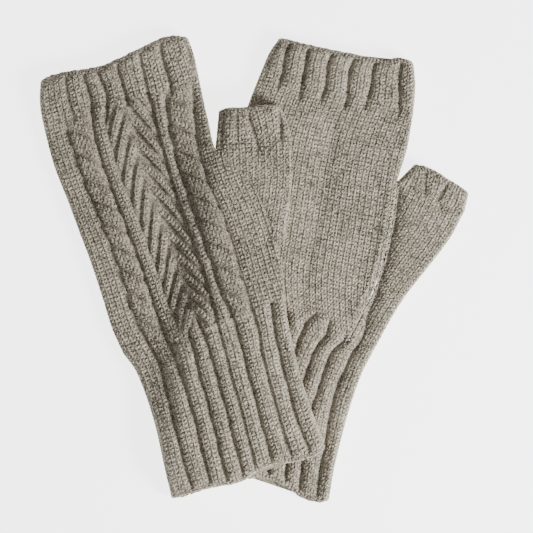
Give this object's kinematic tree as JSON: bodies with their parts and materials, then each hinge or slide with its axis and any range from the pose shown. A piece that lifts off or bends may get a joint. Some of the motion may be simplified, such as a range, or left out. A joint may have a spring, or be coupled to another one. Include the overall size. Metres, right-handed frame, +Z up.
{
  "type": "pair of fingerless mittens",
  "caption": "Pair of fingerless cable-knit mittens with ribbed cuffs, finger bands and open thumbs, laid flat with one lying partly on the other.",
  "frame": {"origin": "centre of the bottom of the bounding box, on the surface that the pair lies on", "axes": "+X to the right of the pair as laid out, +Y from the hems towards the fingers, +Z up"},
  "size_m": [0.2144, 0.2334, 0.0131],
  "materials": {
    "rib_wool": "matte melange wool, 2x2 rib",
    "cable_wool": "matte melange wool, cables",
    "plain_wool": "matte melange wool, stockinette"
  },
  "bodies": {
    "root": {"left_cuff": "rib_wool", "left_back": "cable_wool", "left_palm": "plain_wool", "left_finger_band": "rib_wool", "left_thumb": "plain_wool", "left_thumb_band": "rib_wool", "right_cuff": "rib_wool", "right_back": "cable_wool", "right_palm": "plain_wool", "right_finger_band": "rib_wool", "right_thumb": "plain_wool", "right_thumb_band": "rib_wool"}
  },
  "joints": []
}
